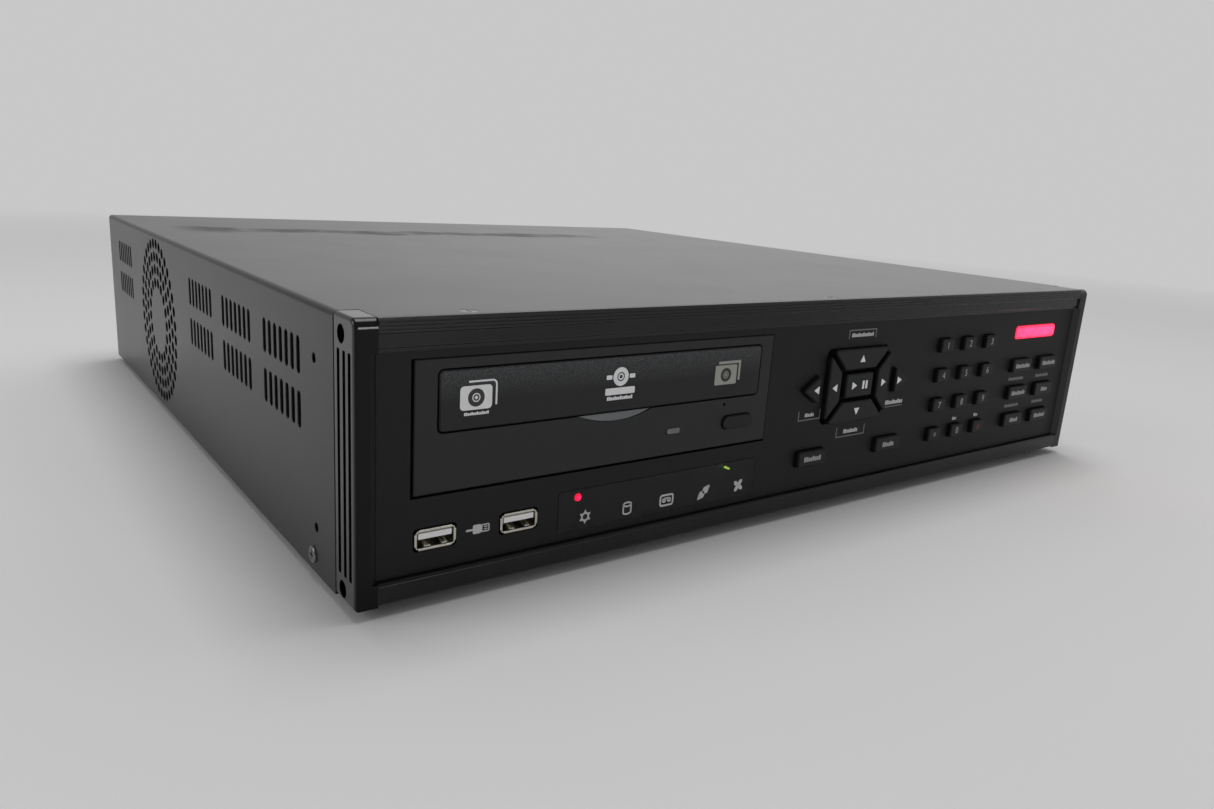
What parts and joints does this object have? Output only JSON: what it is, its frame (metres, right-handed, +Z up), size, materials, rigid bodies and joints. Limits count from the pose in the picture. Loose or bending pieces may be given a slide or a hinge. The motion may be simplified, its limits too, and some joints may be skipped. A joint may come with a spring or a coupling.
{
  "type": "dvr recorder",
  "caption": "Low square-footprint video recorder: vented steel case, ribbed front with optical drive, front sockets, lit indicators, navigation pad and keypad, and rear video sockets.",
  "frame": {"origin": "on the floor under the middle of the whole recorder, rear sockets included", "axes": "+Z up, +Y towards the rear, +X to the right seen from the front"},
  "size_m": [0.4084, 0.416, 0.091],
  "materials": {
    "case_paint": "fine textured powder coat",
    "zinc_steel": "zinc plated",
    "foot_rubber": "matt",
    "screw_steel": "plated",
    "frame_black": "satin",
    "cap_black": "semi-gloss",
    "panel_black": "fine grain",
    "smoked_window": "smoked, polished",
    "indicator_lamp": "tinted clear",
    "light_bar_glow": "lit from behind",
    "circuit_green": "solder mask",
    "nickel_shell": "nickel plated",
    "ivory_plastic": "moulded",
    "drive_black": "fine grain",
    "door_black": "satin",
    "tray_plastic": "moulded",
    "black_plastic": "moulded",
    "key_black": "satin",
    "cast_aluminium": "cast",
    "lead_jacket": "PVC"
  },
  "bodies": {
    "case": {"top_cover": "case_paint", "base_chassis": "zinc_steel", "feet": "foot_rubber", "cover_screws": "screw_steel", "front_frame": "frame_black", "left_end_cap": "cap_black", "right_end_cap": "cap_black", "front_panel": "panel_black", "indicator_window": "smoked_window", "indicator_leds": "indicator_lamp", "light_bar": "light_bar_glow", "keypad_board": "circuit_green", "usb_shells": "nickel_shell", "usb_tongues": "ivory_plastic", "drive_bezel": "drive_black", "drive_case": "zinc_steel", "drive_mechanism": "black_plastic", "hard_disk": "cast_aluminium", "main_board": "circuit_green", "heatsink": "cast_aluminium", "side_fan_frame": "black_plastic", "power_supply_case": "zinc_steel", "ac_inlet": "black_plastic", "bnc_sockets": "nickel_shell", "rear_port_block": "ivory_plastic", "drive_data_lead": "lead_jacket", "drive_power_lead": "lead_jacket"},
    "disc_drawer": {"disc_tray": "tray_plastic", "tray_door": "door_black"},
    "key_up": {"key_up": "key_black"},
    "key_down": {"key_down": "key_black"},
    "key_left": {"key_left": "key_black"},
    "key_right": {"key_right": "key_black"},
    "key_play": {"key_play": "key_black"},
    "key_rewind": {"key_rewind": "key_black"},
    "key_forward": {"key_forward": "key_black"},
    "key_enter": {"key_enter": "key_black"},
    "key_exit": {"key_exit": "key_black"},
    "key_number_1": {"key_number_1": "key_black"},
    "key_number_2": {"key_number_2": "key_black"},
    "key_number_3": {"key_number_3": "key_black"},
    "key_number_4": {"key_number_4": "key_black"},
    "key_number_5": {"key_number_5": "key_black"},
    "key_number_6": {"key_number_6": "key_black"},
    "key_number_7": {"key_number_7": "key_black"},
    "key_number_8": {"key_number_8": "key_black"},
    "key_number_9": {"key_number_9": "key_black"},
    "key_number_star": {"key_number_star": "key_black"},
    "key_number_0": {"key_number_0": "key_black"},
    "key_number_hash": {"key_number_hash": "key_black"},
    "key_function_1": {"key_function_1": "key_black"},
    "key_function_2": {"key_function_2": "key_black"},
    "key_function_3": {"key_function_3": "key_black"},
    "key_function_4": {"key_function_4": "key_black"},
    "key_function_5": {"key_function_5": "key_black"},
    "key_function_6": {"key_function_6": "key_black"},
    "eject_button": {"eject_button": "key_black"},
    "side_fan_rotor": {"side_fan_rotor": "black_plastic"},
    "psu_fan_rotor": {"psu_fan_rotor": "black_plastic"},
    "power_rocker": {"power_rocker": "key_black"}
  },
  "joints": [
    {"name": "key_up_press", "type": "slide", "parent": "case", "child": "key_up", "axis": [0, 1, 0], "range_m": [0, 0.0008], "stiffness_N_per_m": 400, "springref_m": -0.0006},
    {"name": "key_down_press", "type": "slide", "parent": "case", "child": "key_down", "axis": [0, 1, 0], "range_m": [0, 0.0008], "stiffness_N_per_m": 400, "springref_m": -0.0006},
    {"name": "key_left_press", "type": "slide", "parent": "case", "child": "key_left", "axis": [0, 1, 0], "range_m": [0, 0.0008], "stiffness_N_per_m": 400, "springref_m": -0.0006},
    {"name": "key_right_press", "type": "slide", "parent": "case", "child": "key_right", "axis": [0, 1, 0], "range_m": [0, 0.0008], "stiffness_N_per_m": 400, "springref_m": -0.0006},
    {"name": "key_play_press", "type": "slide", "parent": "case", "child": "key_play", "axis": [0, 1, 0], "range_m": [0, 0.0008], "stiffness_N_per_m": 400, "springref_m": -0.0006},
    {"name": "key_rewind_press", "type": "slide", "parent": "case", "child": "key_rewind", "axis": [0, 1, 0], "range_m": [0, 0.0008], "stiffness_N_per_m": 400, "springref_m": -0.0006},
    {"name": "key_forward_press", "type": "slide", "parent": "case", "child": "key_forward", "axis": [0, 1, 0], "range_m": [0, 0.0008], "stiffness_N_per_m": 400, "springref_m": -0.0006},
    {"name": "key_enter_press", "type": "slide", "parent": "case", "child": "key_enter", "axis": [0, 1, 0], "range_m": [0, 0.0008], "stiffness_N_per_m": 400, "springref_m": -0.0006},
    {"name": "key_exit_press", "type": "slide", "parent": "case", "child": "key_exit", "axis": [0, 1, 0], "range_m": [0, 0.0008], "stiffness_N_per_m": 400, "springref_m": -0.0006},
    {"name": "key_number_1_press", "type": "slide", "parent": "case", "child": "key_number_1", "axis": [0, 1, 0], "range_m": [0, 0.0008], "stiffness_N_per_m": 400, "springref_m": -0.0006},
    {"name": "key_number_2_press", "type": "slide", "parent": "case", "child": "key_number_2", "axis": [0, 1, 0], "range_m": [0, 0.0008], "stiffness_N_per_m": 400, "springref_m": -0.0006},
    {"name": "key_number_3_press", "type": "slide", "parent": "case", "child": "key_number_3", "axis": [0, 1, 0], "range_m": [0, 0.0008], "stiffness_N_per_m": 400, "springref_m": -0.0006},
    {"name": "key_number_4_press", "type": "slide", "parent": "case", "child": "key_number_4", "axis": [0, 1, 0], "range_m": [0, 0.0008], "stiffness_N_per_m": 400, "springref_m": -0.0006},
    {"name": "key_number_5_press", "type": "slide", "parent": "case", "child": "key_number_5", "axis": [0, 1, 0], "range_m": [0, 0.0008], "stiffness_N_per_m": 400, "springref_m": -0.0006},
    {"name": "key_number_6_press", "type": "slide", "parent": "case", "child": "key_number_6", "axis": [0, 1, 0], "range_m": [0, 0.0008], "stiffness_N_per_m": 400, "springref_m": -0.0006},
    {"name": "key_number_7_press", "type": "slide", "parent": "case", "child": "key_number_7", "axis": [0, 1, 0], "range_m": [0, 0.0008], "stiffness_N_per_m": 400, "springref_m": -0.0006},
    {"name": "key_number_8_press", "type": "slide", "parent": "case", "child": "key_number_8", "axis": [0, 1, 0], "range_m": [0, 0.0008], "stiffness_N_per_m": 400, "springref_m": -0.0006},
    {"name": "key_number_9_press", "type": "slide", "parent": "case", "child": "key_number_9", "axis": [0, 1, 0], "range_m": [0, 0.0008], "stiffness_N_per_m": 400, "springref_m": -0.0006},
    {"name": "key_number_star_press", "type": "slide", "parent": "case", "child": "key_number_star", "axis": [0, 1, 0], "range_m": [0, 0.0008], "stiffness_N_per_m": 400, "springref_m": -0.0006},
    {"name": "key_number_0_press", "type": "slide", "parent": "case", "child": "key_number_0", "axis": [0, 1, 0], "range_m": [0, 0.0008], "stiffness_N_per_m": 400, "springref_m": -0.0006},
    {"name": "key_number_hash_press", "type": "slide", "parent": "case", "child": "key_number_hash", "axis": [0, 1, 0], "range_m": [0, 0.0008], "stiffness_N_per_m": 400, "springref_m": -0.0006},
    {"name": "key_function_1_press", "type": "slide", "parent": "case", "child": "key_function_1", "axis": [0, 1, 0], "range_m": [0, 0.0008], "stiffness_N_per_m": 400, "springref_m": -0.0006},
    {"name": "key_function_2_press", "type": "slide", "parent": "case", "child": "key_function_2", "axis": [0, 1, 0], "range_m": [0, 0.0008], "stiffness_N_per_m": 400, "springref_m": -0.0006},
    {"name": "key_function_3_press", "type": "slide", "parent": "case", "child": "key_function_3", "axis": [0, 1, 0], "range_m": [0, 0.0008], "stiffness_N_per_m": 400, "springref_m": -0.0006},
    {"name": "key_function_4_press", "type": "slide", "parent": "case", "child": "key_function_4", "axis": [0, 1, 0], "range_m": [0, 0.0008], "stiffness_N_per_m": 400, "springref_m": -0.0006},
    {"name": "key_function_5_press", "type": "slide", "parent": "case", "child": "key_function_5", "axis": [0, 1, 0], "range_m": [0, 0.0008], "stiffness_N_per_m": 400, "springref_m": -0.0006},
    {"name": "key_function_6_press", "type": "slide", "parent": "case", "child": "key_function_6", "axis": [0, 1, 0], "range_m": [0, 0.0008], "stiffness_N_per_m": 400, "springref_m": -0.0006},
    {"name": "eject_press", "type": "slide", "parent": "case", "child": "eject_button", "axis": [0, 1, 0], "range_m": [0, 0.0008], "stiffness_N_per_m": 400, "springref_m": -0.0006},
    {"name": "disc_drawer_slide", "type": "slide", "parent": "case", "child": "disc_drawer", "axis": [0, -1, 0], "range_m": [0, 0.13]},
    {"name": "side_fan_spin", "type": "hinge", "parent": "case", "child": "side_fan_rotor", "pos_m": [-0.1935, 0.0601, 0.0472], "axis": [1, 0, 0], "continuous": true},
    {"name": "psu_fan_spin", "type": "hinge", "parent": "case", "child": "psu_fan_rotor", "pos_m": [0.1685, 0.187, 0.043], "axis": [0, 1, 0], "continuous": true},
    {"name": "power_rocker_tilt", "type": "hinge", "parent": "case", "child": "power_rocker", "pos_m": [0.1145, 0.1968, 0.022], "axis": [1, 0, 0], "range_deg": [0, 14]}
  ]
}
